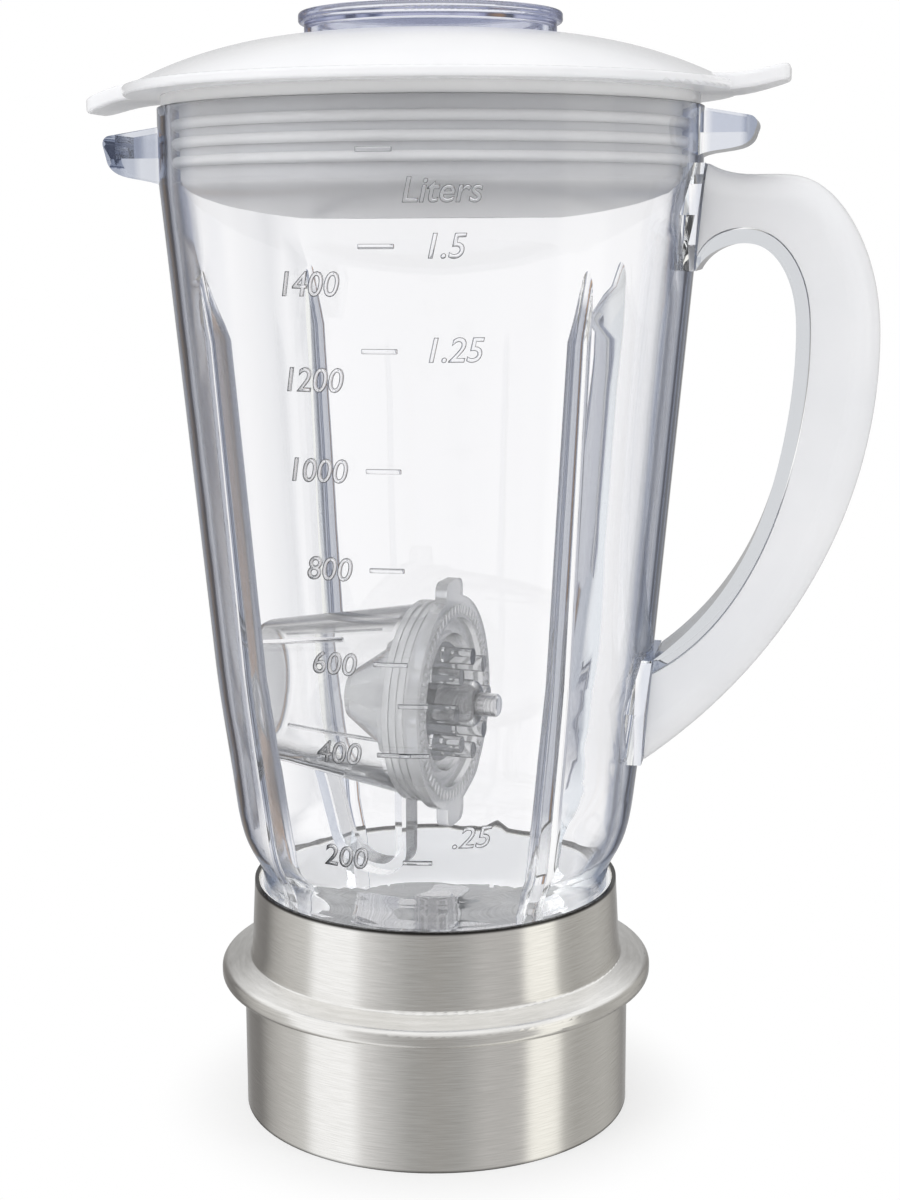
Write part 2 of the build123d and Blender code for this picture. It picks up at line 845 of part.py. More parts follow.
# Drive coupler under the floor
disc_level = coupler_top - coupler_disc
with BuildPart() as drive_coupler:
    with BuildSketch(Plane.XY.offset(disc_level)):
        Circle(coupler_disc_radius)
    extrude(amount=coupler_disc)
    with BuildSketch(Plane.XY.offset(coupler_bottom + coupler_nut_height)):
        Circle(coupler_hub_radius)
        with PolarLocations(coupler_disc_radius - coupler_tooth_width, coupler_teeth):
            Rectangle(coupler_tooth_width, coupler_tooth_width)
    extrude(amount=coupler_height - coupler_nut_height)
    with BuildSketch(Plane.XY.offset(coupler_bottom)):
        Circle(shaft_radius)
    extrude(amount=coupler_height, mode=Mode.SUBTRACT)
drive_coupler.part.label = "drive_coupler"
export_step(drive_coupler.part, "parts/drive_coupler.step")

with BuildPart() as coupler_nut:
    with BuildSketch(Plane.XY.offset(coupler_bottom)):
        RegularPolygon(coupler_nut_flats / 2, 6, major_radius=False)
        Circle(stud_radius, mode=Mode.SUBTRACT)
    extrude(amount=coupler_nut_height)
coupler_nut.part.label = "coupler_nut"
export_step(coupler_nut.part, "parts/coupler_nut.step")

# Small cup: its closed end leans on the jar's wall on the spout side
cup_axis = Vector(cos(radians(cup_turn)), sin(radians(cup_turn)), 0)
cup_across = Vector(-sin(radians(cup_turn)), cos(radians(cup_turn)), 0)
corner_inset = cup_end_round * (1 - sqrt(0.5))
cup_corner = cup_axis * corner_inset - cup_across * (cup_end_radius - corner_inset)
belly_slope = (cone_foot_radius - belly_radius) / (cone_foot_level - belly_level)
cup_room = belly_radius + (cup_level - belly_level) * belly_slope - jar_wall - cup_wall_gap
cup_end = Vector(-sqrt(cup_room**2 - cup_corner.Y**2) - cup_corner.X, 0, cup_level)
cup_side = Plane(cup_end, x_dir=cup_axis, z_dir=-cup_across)
cup_line = Axis(cup_end, cup_axis)
cup_mouth = cup_neck_start + cup_neck_length
ring_end = cup_neck_start + cup_ring_length
flange_end = ring_end + cup_flange


def cup_section(distance):
    """Plane across the small cup at a distance from its closed end."""
    return Plane(cup_end + cup_axis * distance, x_dir=(0, 0, 1), z_dir=cup_axis)


with BuildPart() as cup_body:
    with BuildSketch(cup_side):
        with BuildLine():
            FilletPolyline(
                (0, 0),
                (0, cup_end_radius),
                (cup_neck_start, cup_mouth_radius),
                (cup_neck_start, cup_neck_radius),
                (cup_mouth, cup_neck_radius),
                (cup_mouth, cup_neck_radius - cup_wall),
                (cup_neck_start - cup_wall, cup_neck_radius - cup_wall),
                (cup_wall, cup_end_radius - cup_wall),
                (cup_wall, 0),
                radius=[cup_end_round, 0, 0, 0, 0, 0, cup_end_round - cup_wall],
            )
            Line((cup_wall, 0), (0, 0))
        make_face()
    revolve(axis=cup_line)
    with BuildSketch(cup_side):
        with BuildLine():
            FilletPolyline(
                (cup_loop_start, -cup_end_radius),
                (cup_loop_start + cup_loop_slant, -cup_loop_drop),
                (cup_loop_end, -cup_loop_drop),
                (cup_loop_end, -cup_neck_radius),
                radius=[cup_loop_round, cup_loop_corner],
            )
            offset(amount=cup_loop_thickness, side=Side.LEFT)
        make_face()
    extrude(amount=cup_loop_width / 2, both=True)
    with BuildSketch(cup_section(cup_wall)):
        Circle(cup_end_radius - cup_wall)
    extrude(amount=cup_mouth, mode=Mode.SUBTRACT)
cup_body.part.label = "cup_body"
export_step(cup_body.part, "parts/cup_body.step")

# Screw-on base of the small cup, with its inner cone and two ears
floor_place = cup_mouth + slip_gap
cone_foot_place = floor_place - cup_well_depth
cone_top_place = cone_foot_place - cup_cone_height
with BuildPart() as cup_base:
    with BuildSketch(cup_side):
        with BuildLine():
            Polyline(
                (cup_neck_start + slip_gap, cup_neck_radius + slip_gap),
                (cup_neck_start + slip_gap, cup_ring_radius),
                (ring_end, cup_ring_radius),
                (ring_end, cup_flange_radius),
                (flange_end, cup_flange_radius),
                (flange_end, cup_recess_radius),
                (floor_place + cup_floor, cup_recess_radius),
                (floor_place + cup_floor, cup_well_radius),
                (cone_foot_place + cup_floor, cup_well_radius),
                (cone_foot_place + cup_floor, cup_cone_radius - cup_cone_wall),
                (cone_top_place + cup_cone_wall, cup_cone_nose - cup_cone_wall),
                (cone_top_place + cup_cone_wall, cup_shaft_radius + running_gap),
                (cone_top_place, cup_shaft_radius + running_gap),
                (cone_top_place, cup_cone_nose),
                (cone_foot_place, cup_cone_radius),
                (cone_foot_place, cup_well_radius + cup_floor),
                (floor_place, cup_well_radius + cup_floor),
                (floor_place, cup_neck_radius + slip_gap),
                close=True,
            )
        make_face()
    revolve(axis=cup_line)
    with BuildSketch(cup_side):
        for number in range(cup_groove_count):
            with Locations((ring_end - (number + 0.5) * cup_groove_pitch, cup_ring_radius)):
                Rectangle(cup_groove_width, 2 * cup_groove_depth)
    revolve(axis=cup_line, mode=Mode.SUBTRACT)
    with BuildSketch(cup_section(ring_end)):
        with PolarLocations(cup_flange_radius, 2):
            RectangleRounded(2 * cup_ear_reach, 2 * cup_ear_half_width, cup_ear_round)
    extrude(amount=cup_flange)
cup_base.part.label = "cup_base"
export_step(cup_base.part, "parts/cup_base.step")

# Drive wheel and shaft of the small cup
wheel_place = cone_foot_place + cup_floor + cup_wheel_gap
with BuildPart() as cup_coupler:
    with BuildSketch(cup_section(wheel_place)):
        Circle(cup_wheel_radius)
    extrude(amount=cup_wheel)
    with BuildSketch(cup_section(wheel_place + cup_wheel)):
        with PolarLocations(cup_post_circle, cup_post_count):
            Circle(cup_post_radius)
    extrude(amount=cup_post_length)
    with BuildSketch(cup_section(wheel_place + cup_wheel)):
        Circle(cup_hub_radius)
    extrude(amount=cup_hub_length)
    fillet(cup_coupler.edges().group_by(cup_line)[-1], cup_hub_round)
    with BuildSketch(cup_section(wheel_place)):
        Circle(cup_shaft_radius)
    extrude(amount=cup_wheel + cup_hub_length, mode=Mode.SUBTRACT)
cup_coupler.part.label = "cup_coupler"
export_step(cup_coupler.part, "parts/cup_coupler.step")

with BuildPart() as cup_shaft:
    with BuildSketch(cup_section(cone_top_place)):
        Circle(cup_shaft_radius)
    extrude(amount=wheel_place + cup_wheel + cup_shaft_out - cone_top_place)
    fillet(cup_shaft.edges().group_by(cup_line)[-1], cup_shaft_round)
cup_shaft.part.label = "cup_shaft"
export_step(cup_shaft.part, "parts/cup_shaft.step")
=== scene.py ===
import json
from math import cos, pi, radians, sin

import bpy
from mathutils import Matrix, Vector


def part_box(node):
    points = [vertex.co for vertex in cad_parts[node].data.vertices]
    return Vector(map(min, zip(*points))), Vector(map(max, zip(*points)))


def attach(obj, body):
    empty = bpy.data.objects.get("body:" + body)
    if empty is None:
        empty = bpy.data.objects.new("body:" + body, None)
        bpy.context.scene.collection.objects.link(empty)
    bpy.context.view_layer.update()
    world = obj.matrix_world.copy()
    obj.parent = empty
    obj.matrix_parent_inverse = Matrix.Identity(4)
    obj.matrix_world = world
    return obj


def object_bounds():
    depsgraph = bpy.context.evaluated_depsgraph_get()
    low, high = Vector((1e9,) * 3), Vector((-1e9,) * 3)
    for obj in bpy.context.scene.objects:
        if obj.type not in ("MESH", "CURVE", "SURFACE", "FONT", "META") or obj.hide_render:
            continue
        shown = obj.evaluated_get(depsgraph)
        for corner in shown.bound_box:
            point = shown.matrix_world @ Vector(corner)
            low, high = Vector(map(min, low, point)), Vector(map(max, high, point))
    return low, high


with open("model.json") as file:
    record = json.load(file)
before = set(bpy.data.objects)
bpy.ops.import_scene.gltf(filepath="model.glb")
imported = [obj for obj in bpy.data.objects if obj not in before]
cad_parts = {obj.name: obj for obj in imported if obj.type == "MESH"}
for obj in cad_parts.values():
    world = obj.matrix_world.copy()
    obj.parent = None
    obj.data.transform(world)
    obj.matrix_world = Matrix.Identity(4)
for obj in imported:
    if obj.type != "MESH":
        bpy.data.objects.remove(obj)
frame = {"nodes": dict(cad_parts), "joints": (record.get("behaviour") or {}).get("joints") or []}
cad_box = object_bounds()
for leftover in ("Cube", "Camera", "Light"):
    if leftover in bpy.data.objects:
        bpy.data.objects.remove(bpy.data.objects[leftover])

# A clear blender jar with a steel collar, a white lid and handle, and a small cup lying inside.
# Sizes are in millimetres where a name ends in _mm or a comment says so, and in metres elsewhere.
MM = 0.001

# The photograph's view, from the front and a little to the right of it
CAMERA_TURN = radians(11.0)
CAMERA_PITCH = radians(10.42)
CAMERA_ROLL = radians(0.25)
CAMERA_DISTANCE = 510.9 * MM
CAMERA_HEIGHT = 226.0 * MM
CAMERA_ASIDE = 4.5 * MM
LENS_MM = 61.2
SENSOR_MM = 36.0


def colour(code):
    """Linear colour of an sRGB hex value."""
    parts = [int(code[place:place + 2], 16) / 255 for place in (1, 3, 5)]
    linear = [part / 12.92 if part <= 0.04045 else ((part + 0.055) / 1.055) ** 2.4 for part in parts]
    return (*linear, 1.0)


def per_metre(size_mm):
    """Texture scale whose features are about size_mm across."""
    return 1 / (size_mm * MM)


def add_node(tree, kind, inputs=None, **settings):
    """Add a node, set its properties, and set or link its inputs."""
    node = tree.nodes.new(kind)
    for name, value in settings.items():
        setattr(node, name, value)
    for name, value in (inputs or {}).items():
        if isinstance(value, bpy.types.NodeSocket):
            tree.links.new(value, node.inputs[name])
        else:
            node.inputs[name].default_value = value
    return node


def set_stops(ramp, stops):
    """Give a colour ramp its stops, each a place from 0 to 1 and a hex colour."""
    elements = ramp.color_ramp.elements
    while len(elements) < len(stops):
        elements.new(0.5)
    for element, (place, code) in zip(elements, stops):
        element.position = place
        element.color = colour(code)


def new_material(name, **sockets):
    """A material with a Principled shader, its sockets set by name with spaces written as underscores."""
    material = bpy.data.materials.new(name)
    material.use_nodes = True
    shader = material.node_tree.nodes["Principled BSDF"]
    for socket, value in sockets.items():
        shader.inputs[socket.replace("_", " ")].default_value = value
    return material, material.node_tree, shader


def object_place(tree, scale=(1, 1, 1)):
    """Object coordinates, stretched by scale."""
    place = add_node(tree, "ShaderNodeTexCoord")
    scaled = add_node(tree, "ShaderNodeMapping", {"Vector": place.outputs["Object"], "Scale": scale})
    return scaled.outputs["Vector"]


def axis_distance(tree):
    """Distance of each point from the jar's axis."""
    flat = object_place(tree, (1, 1, 0))
    return add_node(tree, "ShaderNodeVectorMath", {0: flat}, operation="LENGTH").outputs["Value"]


CAUGHT_DEPTH = 9.0  # light that has bounced more often than this is caught in a clear wall


def let_lamps_through(tree, shader, shade):
    """Lamps shine through a clear piece, and light caught inside its walls comes out in the end."""
    path = add_node(tree, "ShaderNodeLightPath")
    clear = add_node(tree, "ShaderNodeBsdfTransparent", {"Color": shade})
    caught = add_node(
        tree, "ShaderNodeMath", {0: path.outputs["Ray Depth"], 1: CAUGHT_DEPTH}, operation="GREATER_THAN"
    )
    through = add_node(
        tree,
        "ShaderNodeMath",
        {0: caught.outputs["Value"], 1: path.outputs["Is Shadow Ray"]},
        operation="MAXIMUM",
    )
    mix = add_node(tree, "ShaderNodeMixShader", {"Fac": through.outputs["Value"]})
    tree.links.new(shader.outputs["BSDF"], mix.inputs[1])
    tree.links.new(clear.outputs["BSDF"], mix.inputs[2])
    tree.links.new(mix.outputs["Shader"], tree.nodes["Material Output"].inputs["Surface"])


# The middle of the jar's plain wall, from the foot of its cone to the top, as radius and height
WALL_FOOT_MM = (50.1, 86.0)
WALL_TOP_MM = (64.8, 236.0)
THICK_REACH_MM = (-6.0, 18.0)
# By millimetres out from the middle of the wall: ribs, plain wall and pads, ears, tips of the ears
THICK_TONES = (
    (-3.7, "#868B98"),
    (-2.7, "#FFFFFF"),
    (2.7, "#FFFFFF"),
    (3.7, "#E2E5EC"),
    (11.0, "#E2E5EC"),
    (13.0, "#A3AABA"),
)
FOOT_LEVEL_MM = (76.0, 88.0)  # the jar's foot below this curves in and counts as wall


def thick_places(tree):
    """Share and tone of the jar's thick plastic: slate in its ribs and at the tips of its ears."""
    radius = axis_distance(tree)
    parts = add_node(tree, "ShaderNodeSeparateXYZ", {"Vector": object_place(tree)})
    wall = add_node(
        tree,
        "ShaderNodeMapRange",
        {
            "Value": parts.outputs["Z"],
            "From Min": WALL_FOOT_MM[1] * MM,
            "From Max": WALL_TOP_MM[1] * MM,
            "To Min": WALL_FOOT_MM[0] * MM,
            "To Max": WALL_TOP_MM[0] * MM,
        },
    )
    off = add_node(
        tree,
        "ShaderNodeMath",
        {0: radius, 1: wall.outputs["Result"]},
        operation="SUBTRACT",
    )
    low, high = THICK_REACH_MM
    share = add_node(
        tree,
        "ShaderNodeMapRange",
        {"Value": off.outputs["Value"], "From Min": low * MM, "From Max": high * MM},
    )
    tone = add_node(tree, "ShaderNodeValToRGB", {"Fac": share.outputs["Result"]})
    set_stops(tone, [((place - low) / (high - low), code) for place, code in THICK_TONES])
    above = add_node(
        tree,
        "ShaderNodeMapRange",
        {"Value": parts.outputs["Z"], "From Min": FOOT_LEVEL_MM[0] * MM, "From Max": FOOT_LEVEL_MM[1] * MM},
    )
    return above.outputs["Result"], tone.outputs["Color"]


FLOW_MM = 22  # length of the waves that the melt left in the clear walls


def clear_plastic(
    name,
    tint,
    edge,
    shade,
    rise=(0.62, 0.8),
    clarity=1.0,
    roughness=0.0,
    absorbs=None,
    density=0.0,
    thick=False,
):
    """Moulded clear plastic: glassy, with painted shade where it is seen edge on, wavy where the melt
    flowed.
    """
    material, tree, shader = new_material(name, IOR=1.585, Transmission_Weight=clarity, Roughness=roughness)
    # The edge colour is painted shade, darker where the plastic is seen edge on
    turned = add_node(tree, "ShaderNodeLayerWeight", {"Blend": 0.5})
    edge_on_shade = add_node(tree, "ShaderNodeValToRGB", {"Fac": turned.outputs["Facing"]})
    set_stops(edge_on_shade, ((0.0, tint), (rise[0], tint), (rise[1], edge), (1.0, edge)))
    tone = edge_on_shade
    if thick:
        share, deep = thick_places(tree)
        tone = add_node(
            tree,
            "ShaderNodeMixRGB",
            {"Fac": share, "Color1": edge_on_shade.outputs["Color"], "Color2": deep},
            blend_type="MULTIPLY",
        )
    tree.links.new(tone.outputs["Color"], shader.inputs["Base Color"])
    flow = add_node(
        tree,
        "ShaderNodeTexNoise",
        {"Vector": object_place(tree), "Scale": per_metre(FLOW_MM), "Detail": 1.0},
    )
    wave = add_node(
        tree, "ShaderNodeBump", {"Height": flow.outputs["Fac"], "Strength": 0.04, "Distance": 1 * MM}
    )
    tree.links.new(wave.outputs["Normal"], shader.inputs["Normal"])
    if absorbs:
        volume = add_node(
            tree, "ShaderNodeVolumeAbsorption", {"Color": colour(absorbs), "Density": density}
        )
        tree.links.new(volume.outputs["Volume"], tree.nodes["Material Output"].inputs["Volume"])
    let_lamps_through(tree, shader, colour(shade))
    return material


CLOUD_MM = 40  # size of the faint clouds in white plastic
SKIN_MM = 0.8  # grain of its moulded skin
ROUGHNESS_SPREAD = 0.04


def moulded_skin(name, roughness, depth_mm):
    """Glossy moulded plastic before its colour: a fine skin, and light that sinks a little way in."""
    material, tree, shader = new_material(
        name,
        IOR=1.52,
        Subsurface_Weight=0.25,
        Subsurface_Scale=depth_mm * MM,
        Subsurface_Radius=(1.0, 1.0, 1.0),
    )
    grain = add_node(
        tree, "ShaderNodeTexNoise", {"Vector": object_place(tree), "Scale": per_metre(SKIN_MM)}
    )
    gloss = add_node(
        tree,
        "ShaderNodeMapRange",
        {
            "Value": grain.outputs["Fac"],
            "To Min": roughness - ROUGHNESS_SPREAD,
            "To Max": roughness + ROUGHNESS_SPREAD,
        },
    )
    tree.links.new(gloss.outputs["Result"], shader.inputs["Roughness"])
    skin = add_node(
        tree, "ShaderNodeBump", {"Height": grain.outputs["Fac"], "Strength": 0.03, "Distance": 0.1 * MM}
    )
    tree.links.new(skin.outputs["Normal"], shader.inputs["Normal"])
    return material, tree, shader


def white_plastic(name, pale, deep, roughness, depth_mm):
    """Moulded white plastic: even and bright, faintly cloudy."""
    material, tree, shader = moulded_skin(name, roughness, depth_mm)
    cloud = add_node(
        tree, "ShaderNodeTexNoise", {"Vector": object_place(tree), "Scale": per_metre(CLOUD_MM)}
    )
    blend = add_node(tree, "ShaderNodeValToRGB", {"Fac": cloud.outputs["Fac"]})
    set_stops(blend, ((0.3, deep), (0.7, pale)))
    tree.links.new(blend.outputs["Color"], shader.inputs["Base Color"])
    return material


def ringed_plug(name, body_mm, ring_mm):
    """The plug's plastic: pale rings on a thinner, pale body, told apart by distance from the axis, with
    painted shade in a grey band at the roots of the rings.
    """
    material, tree, shader = moulded_skin(name, roughness=0.3, depth_mm=6)
    radius = axis_distance(tree)
    share = add_node(
        tree,
        "ShaderNodeMapRange",
        {"Value": radius, "From Min": body_mm * MM, "From Max": ring_mm * MM},
    )
    blend = add_node(tree, "ShaderNodeValToRGB", {"Fac": share.outputs["Result"]})
    # The grey stop is painted shade in the gaps at the roots of the rings
    set_stops(blend, ((0.0, "#F0F0F1"), (0.25, "#CFD0D3"), (0.6, "#F8F8F8"), (1.0, "#FAFAFA")))
    tree.links.new(blend.outputs["Color"], shader.inputs["Base Color"])
    return material


COLLAR_RADIUS = 50 * MM
COLLAR_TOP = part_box("base_collar")[1][2]
COLLAR_FOOT_SHADE_HEIGHT = 0.7 * MM  # painted shade darkens its lowest edge up to this height
COLLAR_RIM_SHADOW_DEPTH = 1.0 * MM  # painted shadow of the jar darkens its rim from this far below its top
SCRATCH_LENGTH_MM = 9
SCRATCH_WIDTH_MM = 0.3  # drawn coarser than real brushing, so that it shows


def brushed_stainless():
    """Stainless sheet brushed round the collar: fine level scratches, light in upright streaks, painted
    shade at its foot and painted shadow at its rim.
    """
    material, tree, shader = new_material(
        "brushed_stainless_steel", Metallic=1.0, Anisotropic=0.85, Anisotropic_Rotation=0.25
    )
    parts = add_node(tree, "ShaderNodeSeparateXYZ", {"Vector": object_place(tree)})
    back = add_node(tree, "ShaderNodeMath", {0: parts.outputs["Y"], 1: -1.0}, operation="MULTIPLY")
    turn = add_node(
        tree,
        "ShaderNodeMath",
        {0: parts.outputs["X"], 1: back.outputs["Value"]},
        operation="ARCTAN2",
    )
    around = add_node(
        tree,
        "ShaderNodeMath",
        {0: turn.outputs["Value"], 1: COLLAR_RADIUS * per_metre(SCRATCH_LENGTH_MM)},
        operation="MULTIPLY",
    )
    across = add_node(
        tree,
        "ShaderNodeMath",
        {0: parts.outputs["Z"], 1: per_metre(SCRATCH_WIDTH_MM)},
        operation="MULTIPLY",
    )
    unrolled = add_node(
        tree, "ShaderNodeCombineXYZ", {"X": around.outputs["Value"], "Y": across.outputs["Value"]}
    )
    scratch = add_node(
        tree,
        "ShaderNodeTexNoise",
        {"Vector": unrolled.outputs["Vector"], "Scale": 1.0, "Detail": 4.0, "Roughness": 0.65},
    )
    shade = add_node(tree, "ShaderNodeValToRGB", {"Fac": scratch.outputs["Fac"]})
    set_stops(shade, ((0.3, "#E6E5E2"), (0.7, "#FBFAF8")))
    height = add_node(
        tree, "ShaderNodeMapRange", {"Value": parts.outputs["Z"], "From Max": COLLAR_TOP}
    )
    # Painted shade at the collar's foot and painted shadow at its rim, set by height
    edge = add_node(tree, "ShaderNodeValToRGB", {"Fac": height.outputs["Result"]})
    set_stops(
        edge,
        (
            (0.0, "#4A4948"),
            (COLLAR_FOOT_SHADE_HEIGHT / COLLAR_TOP, "#FFFFFF"),
            (1 - COLLAR_RIM_SHADOW_DEPTH / COLLAR_TOP, "#FFFFFF"),
            (1 - COLLAR_RIM_SHADOW_DEPTH / 2 / COLLAR_TOP, "#3E3D3C"),
        ),
    )
    tone = add_node(
        tree,
        "ShaderNodeMixRGB",
        {"Fac": 1.0, "Color1": shade.outputs["Color"], "Color2": edge.outputs["Color"]},
        blend_type="MULTIPLY",
    )
    tree.links.new(tone.outputs["Color"], shader.inputs["Base Color"])
    gloss = add_node(
        tree, "ShaderNodeMapRange", {"Value": scratch.outputs["Fac"], "To Min": 0.16, "To Max": 0.26}
    )
    tree.links.new(gloss.outputs["Result"], shader.inputs["Roughness"])
    groove = add_node(
        tree, "ShaderNodeBump", {"Height": scratch.outputs["Fac"], "Strength": 0.07, "Distance": 0.05 * MM}
    )
    tree.links.new(groove.outputs["Normal"], shader.inputs["Normal"])
    tangent = add_node(tree, "ShaderNodeTangent", direction_type="RADIAL", axis="Z")
    tree.links.new(tangent.outputs["Tangent"], shader.inputs["Tangent"])
    return material


def turned_metal(name, dark, light, low, high, ring_mm):
    """Metal turned on a lathe: grey, with fine rings about its axis."""
    material, tree, shader = new_material(name, Metallic=1.0)
    radius = axis_distance(tree)
    ring = add_node(
        tree,
        "ShaderNodeTexNoise",
        {"W": radius, "Scale": per_metre(ring_mm), "Detail": 3.0},
        noise_dimensions="1D",
    )
    shade = add_node(tree, "ShaderNodeValToRGB", {"Fac": ring.outputs["Fac"]})
    set_stops(shade, ((0.2, dark), (0.8, light)))
    tree.links.new(shade.outputs["Color"], shader.inputs["Base Color"])
    gloss = add_node(
        tree, "ShaderNodeMapRange", {"Value": ring.outputs["Fac"], "To Min": low, "To Max": high}
    )
    tree.links.new(gloss.outputs["Result"], shader.inputs["Roughness"])
    return material


def grained(name, dark, light, roughness, grain_mm, **sockets):
    """A dull moulded or cast surface: two close tones in a fine grain, with the same grain as relief."""
    material, tree, shader = new_material(name, Roughness=roughness, **sockets)
    grain = add_node(
        tree,
        "ShaderNodeTexNoise",
        {"Vector": object_place(tree), "Scale": per_metre(grain_mm), "Detail": 3.0},
    )
    shade = add_node(tree, "ShaderNodeValToRGB", {"Fac": grain.outputs["Fac"]})
    set_stops(shade, ((0.3, dark), (0.7, light)))
    tree.links.new(shade.outputs["Color"], shader.inputs["Base Color"])
    relief = add_node(
        tree, "ShaderNodeBump", {"Height": grain.outputs["Fac"], "Strength": 0.2, "Distance": 0.1 * MM}
    )
    tree.links.new(relief.outputs["Normal"], shader.inputs["Normal"])
    return material


# The second colour of each clear plastic is painted shade where it is seen edge on
jar_plastic = clear_plastic(
    "clear_polycarbonate", "#FDFDFE", "#4A546B", "#FAFBFC", rise=(0.56, 0.76), thick=True
)
small_cup_plastic = clear_plastic(
    "clear_copolyester", "#FBFBFB", "#2A2C30", "#F8F8F8", rise=(0.42, 0.66)
)
strip_plastic = clear_plastic(
    "clear_polycarbonate_strip", "#EEF0F3", "#4E5668", "#F0F1F3", absorbs="#8D9198", density=14.0
)
cap_plastic = clear_plastic(
    "blue_clear_polycarbonate", "#F7F8FC", "#545B80", "#F0F2F8", absorbs="#7F89BE", density=16.0
)
mark_plastic = clear_plastic(
    "clear_polycarbonate_marks", "#FDFDFE", "#0C0E12", "#F0F1F3", rise=(0.08, 0.26)
)
cup_base_plastic = clear_plastic(
    "milky_copolyester",
    "#FAFAFA",
    "#5A5B5D",
    "#F6F6F6",
    rise=(0.5, 0.85),
    clarity=0.72,
    roughness=0.12,
)
handle_plastic = white_plastic("white_abs", "#F3F3F5", "#E9EAED", roughness=0.2, depth_mm=4)
plug_plastic = ringed_plug("natural_polypropylene", body_mm=60.6, ring_mm=63.0)
collar_steel = brushed_stainless()
floor_steel = turned_metal(
    "spun_stainless_steel", "#A8A8A8", "#D4D4D4", low=0.25, high=0.45, ring_mm=0.9
)
machined_steel = turned_metal(
    "machined_stainless_steel", "#BEBEBF", "#E9E9EA", low=0.15, high=0.3, ring_mm=0.4
)
housing_metal = grained(
    "cast_aluminium", "#A4A6A8", "#C2C4C6", roughness=0.45, grain_mm=0.6, Metallic=1.0
)
bush_metal = grained(
    "sintered_bronze", "#7D5B33", "#9C7646", roughness=0.5, grain_mm=0.3, Metallic=1.0
)
black_plastic = grained("black_nylon", "#161617", "#242426", roughness=0.5, grain_mm=0.7, IOR=1.53)
rubber = grained("nitrile_rubber", "#1B1B1B", "#2B2B2A", roughness=0.75, grain_mm=0.5)
# Painted glow: the silicone emits a little light, standing in for the light that the jar's wall brings down
# to it
silicone = grained(
    "white_silicone",
    "#F2F2F1",
    "#F9F9F8",
    roughness=0.5,
    grain_mm=0.6,
    IOR=1.42,
    Emission_Color=(1, 1, 1, 1),
    Emission_Strength=0.4,
)

FINISH = {
    "jar_body": jar_plastic,
    "handle_inner": strip_plastic,
    "cup_body": small_cup_plastic,
    "centre_cap": cap_plastic,
    "cup_base": cup_base_plastic,
    "cup_coupler": small_cup_plastic,
    "lid": handle_plastic,
    "handle_cover": handle_plastic,
    "lid_plug": plug_plastic,
    "base_collar": collar_steel,
    "base_plate": floor_steel,
    "bearing_nut": machined_steel,
    "blade_shaft": machined_steel,
    "lower_blade": machined_steel,
    "upper_blade": machined_steel,
    "blade_washer": machined_steel,
    "blade_nut": machined_steel,
    "coupler_nut": machined_steel,
    "cup_shaft": machined_steel,
    "bearing_housing": housing_metal,
    "upper_bush": bush_metal,
    "lower_bush": bush_metal,
    "base_insert": black_plastic,
    "drive_coupler": black_plastic,
    "base_gasket": silicone,
    "shaft_seal": rubber,
}
for node_name, finish in FINISH.items():
    frame["nodes"][node_name].data.materials[0] = finish


# Graduation marks, moulded on the outside of the jar's wall
MARK_HEIGHT_MM = 0.6
MARK_EDGE_MM = 0.28  # how wide the marks' rounded edges are
MARK_GAP_MM = 0.02  # between a mark and its wall, because clear faces that coincide render black
LETTER_SIZE_MM = 7.6
LETTER_SLANT = 0.22
TICK_START = -2.75  # degrees round the jar from the front, positive towards the handle
TICK_LENGTH_MM = 8.0
TICK_WIDTH_MM = 1.1
TICK_CUTS = 6  # parts along a tick, so that it bends round the wall
LITRE_TICK_START = 2.8
MILLILITRE_END = -7.2
LITRE_START = 9.5
jar = frame["nodes"]["jar_body"]


def on_wall(angle, height, out):
    """The point that lies out from the jar's outside wall, at an angle in degrees and a height."""
    outward = Vector((sin(radians(angle)), -cos(radians(angle)), 0))
    start = outward * cad_box[1][0] + Vector((0, 0, height))
    place, normal = jar.ray_cast(start, -outward)[1:3]
    return place + normal * out


def wrap(piece, angle, height):
    """Lay a flat mesh, drawn in millimetres with its thickness along Z, on the jar's wall."""
    middle = on_wall(angle, height, 0)
    radius = middle.xy.length
    for vertex in piece.data.vertices:
        across, up, out = vertex.co * MM
        turn = angle + across / radius * 180 / pi
        vertex.co = on_wall(turn, height + up, out)


def finish_piece(name, pieces, material):
    """Join pieces into one that rides on the jar, with its material."""
    bpy.ops.object.select_all(action="DESELECT")
    for piece in pieces:
        piece.select_set(True)
    bpy.context.view_layer.objects.active = pieces[0]
    bpy.ops.object.join()
    whole = bpy.context.object
    whole.name = name
    whole.data.name = name
    whole.data.materials.clear()
    whole.data.materials.append(material)
    bpy.ops.object.shade_smooth_by_angle(angle=radians(40))
    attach(whole, "jar")
    return whole


def moulded_text(words, angle, height, align):
    """Slanted letters that stand out from the wall, with rounded edges."""
    bpy.ops.object.select_all(action="DESELECT")
    bpy.ops.object.text_add()
    text = bpy.context.object
    text.data.body = words
    text.data.size = LETTER_SIZE_MM
    text.data.shear = LETTER_SLANT
    text.data.align_x = align
    text.data.align_y = "CENTER"
    text.data.resolution_u = 4
    text.data.extrude = MARK_HEIGHT_MM / 2 - MARK_EDGE_MM
    text.data.bevel_depth = MARK_EDGE_MM
    text.data.offset = -MARK_EDGE_MM / 2
    text.data.bevel_resolution = 2
    bpy.ops.object.convert(target="MESH")
    bpy.ops.object.mode_set(mode="EDIT")
    bpy.ops.mesh.select_all(action="SELECT")
    bpy.ops.mesh.remove_doubles(threshold=0.001)
    bpy.ops.transform.translate(value=(0, 0, MARK_HEIGHT_MM / 2 + MARK_GAP_MM))
    bpy.ops.object.mode_set(mode="OBJECT")
    piece = bpy.context.object
    wrap(piece, angle, height * MM)
    return piece


